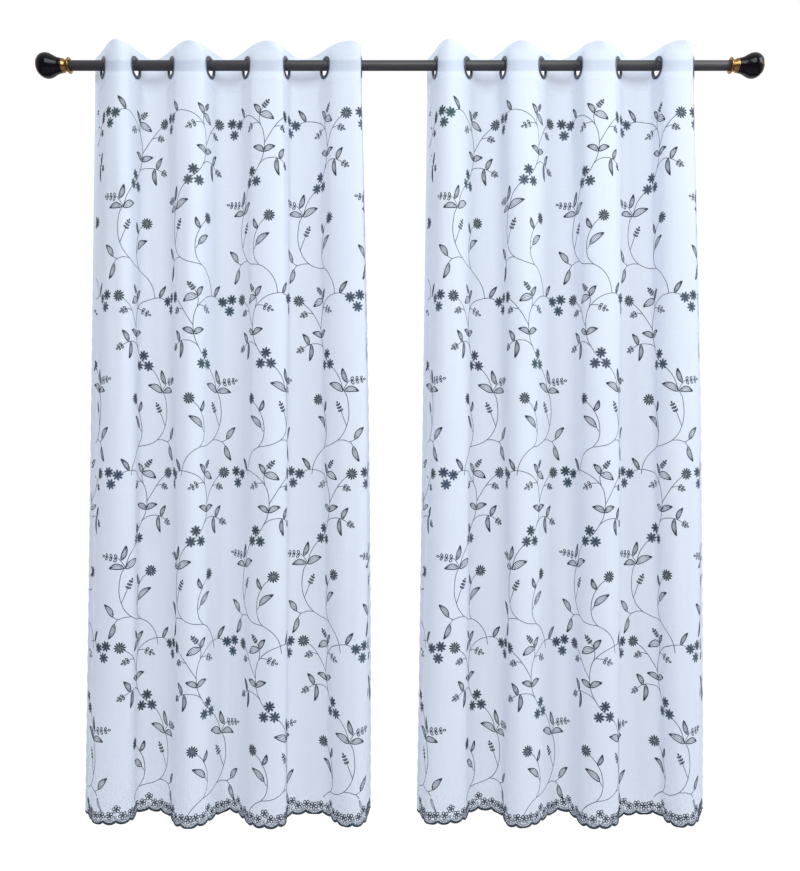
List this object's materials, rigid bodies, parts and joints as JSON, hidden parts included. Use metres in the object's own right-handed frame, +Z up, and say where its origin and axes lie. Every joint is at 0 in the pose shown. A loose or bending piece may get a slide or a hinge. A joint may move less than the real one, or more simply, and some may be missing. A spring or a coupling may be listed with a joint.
{
  "type": "pair of sheer voile eyelet curtains on a curtain rod",
  "caption": "Sheer voile curtains with sprig embroidery and a scalloped corded hem, hanging in soft eyelet folds from a round rod with bulb finials.",
  "frame": {"origin": "middle of the rod's axis", "axes": "+X along the rod, -Y towards the room, +Z up"},
  "size_m": [2.0112, 0.1254, 2.134],
  "materials": {
    "voile": "sheer white polyester voile",
    "thread": "slate-teal embroidery thread, slight sheen",
    "heading": "doubled and stiffened voile, matt white",
    "eyelet": "dark slate-grey lacquer, satin",
    "rod": "charcoal black paint, satin",
    "bulb": "gloss black moulded resin",
    "gold": "antique gilt, satin"
  },
  "bodies": {
    "root": {"rod": "rod", "finial_left_collar": "gold", "finial_left_bulb": "bulb", "finial_left_cap": "gold", "finial_right_collar": "gold", "finial_right_bulb": "bulb", "finial_right_cap": "gold", "cloth_left": "voile", "heading_left": "heading", "eyelet_left_1": "eyelet", "eyelet_left_2": "eyelet", "eyelet_left_3": "eyelet", "eyelet_left_4": "eyelet", "eyelet_left_5": "eyelet", "eyelet_left_6": "eyelet", "eyelet_left_7": "eyelet", "eyelet_left_8": "eyelet", "cloth_right": "voile", "heading_right": "heading", "eyelet_right_1": "eyelet", "eyelet_right_2": "eyelet", "eyelet_right_3": "eyelet", "eyelet_right_4": "eyelet", "eyelet_right_5": "eyelet", "eyelet_right_6": "eyelet", "eyelet_right_7": "eyelet", "eyelet_right_8": "eyelet"}
  },
  "joints": []
}
